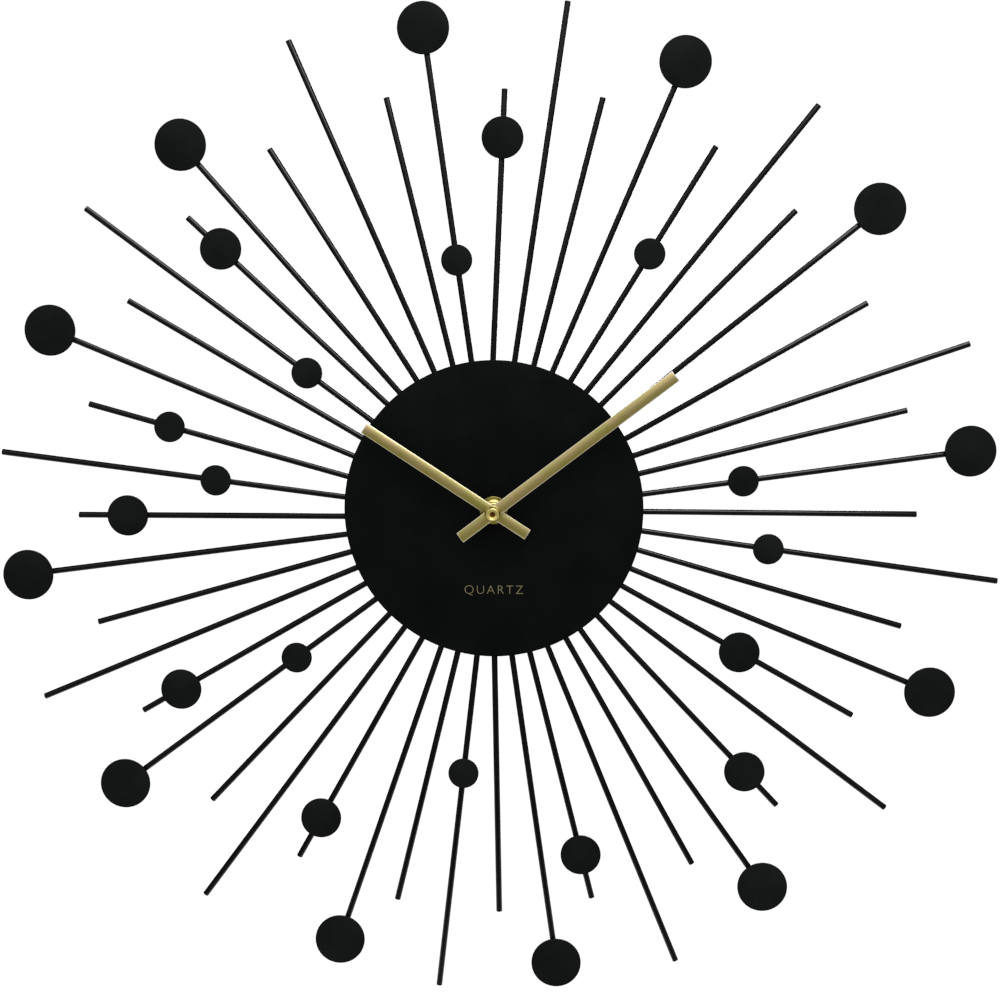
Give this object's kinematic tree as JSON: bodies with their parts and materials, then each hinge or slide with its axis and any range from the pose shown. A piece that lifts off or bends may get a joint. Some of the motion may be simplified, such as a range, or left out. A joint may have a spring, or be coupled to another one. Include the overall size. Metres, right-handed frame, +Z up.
{
  "type": "sunburst wall clock",
  "caption": "Round wall clock with a black dial, wire rays tipped and threaded with flat discs, two gold baton hands and a battery quartz movement with its gear train.",
  "frame": {"origin": "on the axis of the hands, at the wall: the middle of the movement's flat back", "axes": "+Z up towards 12 o'clock, +X to the right seen from the front, -Y out of the dial towards the viewer, +Y into the wall"},
  "size_m": [0.4997, 0.0364, 0.4971],
  "materials": {
    "black_wire_and_discs": "satin black powder coat on steel wire and sheet",
    "black_frame": "satin black powder coat on the welded frame behind the dial",
    "black_dial": "satin black powder coat on sheet steel",
    "gold_hand": "satin gold plated, brushed along the hand",
    "polished_brass": "polished",
    "turned_brass": "turned",
    "bare_steel": "bare stamped and turned steel",
    "black_plastic": "fine moulded texture",
    "white_acetal": "smooth moulded",
    "amber_plastic": "smooth moulded",
    "copper_wire": "enamelled fine copper wire",
    "washer_rubber": "matt",
    "green_board": "solder mask on a glass fibre board",
    "cell_jacket": null
  },
  "bodies": {
    "clock_body": {"ray_pair_01": "black_wire_and_discs", "ray_pair_02": "black_wire_and_discs", "ray_pair_03": "black_wire_and_discs", "ray_pair_04": "black_wire_and_discs", "ray_pair_05": "black_wire_and_discs", "ray_pair_06": "black_wire_and_discs", "ray_pair_07": "black_wire_and_discs", "ray_pair_08": "black_wire_and_discs", "ray_pair_09": "black_wire_and_discs", "ray_pair_10": "black_wire_and_discs", "ray_pair_11": "black_wire_and_discs", "ray_pair_12": "black_wire_and_discs", "ray_pair_13": "black_wire_and_discs", "ray_pair_14": "black_wire_and_discs", "ray_pair_15": "black_wire_and_discs", "ray_pair_16": "black_wire_and_discs", "ray_pair_17": "black_wire_and_discs", "ray_pair_18": "black_wire_and_discs", "ray_pair_19": "black_wire_and_discs", "ray_pair_20": "black_wire_and_discs", "ray_pair_21": "black_wire_and_discs", "ray_pair_22": "black_wire_and_discs", "ray_pair_23": "black_wire_and_discs", "ray_pair_24": "black_wire_and_discs", "hub_ring_inner": "black_frame", "hub_ring_outer": "black_frame", "hanging_bracket": "black_frame", "dial_plate": "black_dial", "movement_case": "black_plastic", "movement_back_cover": "black_plastic", "middle_plate": "white_acetal", "stator": "bare_steel", "coil_bobbin": "amber_plastic", "coil_winding": "copper_wire", "circuit_board": "green_board", "ic_chip": "black_plastic", "crystal_can": "bare_steel", "battery_cell": "cell_jacket", "battery_contact_positive": "bare_steel", "battery_contact_negative": "bare_steel", "threaded_bushing": "polished_brass", "rubber_washer": "washer_rubber", "dial_washer": "polished_brass", "bushing_nut": "polished_brass"},
    "minute_hand_body": {"minute_hand": "gold_hand", "minute_hand_collet": "turned_brass", "hand_cap_nut": "polished_brass", "cannon_pinion": "bare_steel"},
    "hour_hand_body": {"hour_hand": "gold_hand", "hour_hand_collet": "turned_brass", "hour_wheel": "white_acetal"},
    "minute_wheel_body": {"minute_wheel": "white_acetal"},
    "setting_knob_body": {"setting_knob": "black_plastic"},
    "seconds_wheel_body": {"seconds_wheel": "white_acetal"},
    "third_wheel_body": {"third_wheel": "white_acetal"},
    "centre_wheel_body": {"centre_wheel": "turned_brass"},
    "intermediate_wheel_body": {"intermediate_wheel": "white_acetal"},
    "rotor_body": {"rotor": "bare_steel"}
  },
  "joints": [
    {"name": "minute_hand_turn", "type": "hinge", "parent": "clock_body", "child": "minute_hand_body", "pos_m": [0, 0, 0], "axis": [0, 1, 0], "continuous": true},
    {"name": "hour_hand_turn", "type": "hinge", "parent": "clock_body", "child": "hour_hand_body", "pos_m": [0, 0, 0], "axis": [0, 1, 0], "continuous": true},
    {"name": "minute_wheel_turn", "type": "hinge", "parent": "clock_body", "child": "minute_wheel_body", "pos_m": [-0.00257, 0, 0.00705], "axis": [0, 1, 0], "continuous": true},
    {"name": "setting_knob_turn", "type": "hinge", "parent": "clock_body", "child": "setting_knob_body", "pos_m": [-0.00513, 0, 0.0141], "axis": [0, 1, 0], "continuous": true},
    {"name": "seconds_wheel_turn", "type": "hinge", "parent": "clock_body", "child": "seconds_wheel_body", "pos_m": [0, 0, 0], "axis": [0, 1, 0], "continuous": true},
    {"name": "third_wheel_turn", "type": "hinge", "parent": "clock_body", "child": "third_wheel_body", "pos_m": [-0.009, 0, 0], "axis": [0, 1, 0], "continuous": true},
    {"name": "centre_wheel_turn", "type": "hinge", "parent": "clock_body", "child": "centre_wheel_body", "pos_m": [0, 0, 0], "axis": [0, 1, 0], "continuous": true},
    {"name": "intermediate_wheel_turn", "type": "hinge", "parent": "clock_body", "child": "intermediate_wheel_body", "pos_m": [0.00509, 0, 0.00509], "axis": [0, 1, 0], "continuous": true},
    {"name": "rotor_turn", "type": "hinge", "parent": "clock_body", "child": "rotor_body", "pos_m": [0.01167, 0, 0.00749], "axis": [0, 1, 0], "continuous": true}
  ],
  "couplings": [
    {"joint": "hour_hand_turn", "follows": "minute_hand_turn", "ratio": 0.083333},
    {"joint": "minute_wheel_turn", "follows": "minute_hand_turn", "ratio": -0.33333},
    {"joint": "setting_knob_turn", "follows": "minute_hand_turn", "ratio": 1},
    {"joint": "third_wheel_turn", "follows": "seconds_wheel_turn", "ratio": -0.13333},
    {"joint": "centre_wheel_turn", "follows": "seconds_wheel_turn", "ratio": 0.016667},
    {"joint": "intermediate_wheel_turn", "follows": "seconds_wheel_turn", "ratio": -5},
    {"joint": "rotor_turn", "follows": "seconds_wheel_turn", "ratio": 30}
  ]
}
